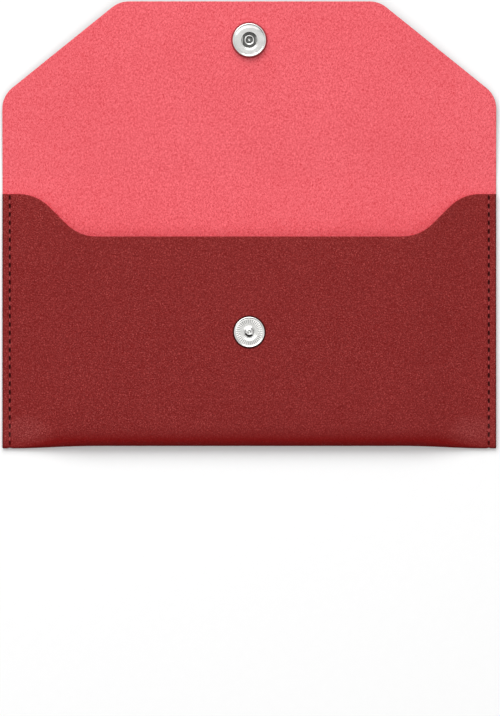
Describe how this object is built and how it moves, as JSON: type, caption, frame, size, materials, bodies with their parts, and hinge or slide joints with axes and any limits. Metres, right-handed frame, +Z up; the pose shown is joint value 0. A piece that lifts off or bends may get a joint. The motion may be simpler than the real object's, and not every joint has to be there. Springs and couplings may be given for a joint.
{
  "type": "cash envelope wallet",
  "caption": "Envelope wallet for banknotes in dark red grained leather cloth with a coral lining, sewn sides, a scooped mouth and a folding flap that closes with a press stud.",
  "frame": {"origin": "on the table, under the middle of the open wallet's bounding box", "axes": "+X across the wallet, to the right seen from the front; +Y from the bottom fold towards the flap; +Z up, out of the front panel"},
  "size_m": [0.1666, 0.1506, 0.0081],
  "materials": {
    "leather": "fine pebble grain, satin, with a coral suede-like lining side",
    "thread": "twisted polyester sewing thread",
    "nickel": "polished nickel plate",
    "spring_steel": "drawn spring wire"
  },
  "bodies": {
    "pocket": {"pocket": "leather", "snap_stud": "nickel", "stud_post": "nickel", "left_needle_thread": "thread", "left_bobbin_thread": "thread", "right_needle_thread": "thread", "right_bobbin_thread": "thread"},
    "fold_band": {"fold_band": "leather"},
    "flap": {"flap": "leather", "snap_cap": "nickel", "snap_socket": "nickel", "socket_spring": "spring_steel"}
  },
  "joints": [
    {"name": "lower_crease", "type": "hinge", "parent": "pocket", "child": "fold_band", "pos_m": [0, 0.01, 0.0017], "axis": [1, 0, 0], "range_deg": [0, 90]},
    {"name": "upper_crease", "type": "hinge", "parent": "fold_band", "child": "flap", "pos_m": [0, 0.0162, 0.0017], "axis": [1, 0, 0], "range_deg": [0, 86.74]}
  ],
  "couplings": [
    {"joint": "upper_crease", "follows": "lower_crease", "ratio": 0.96376}
  ]
}
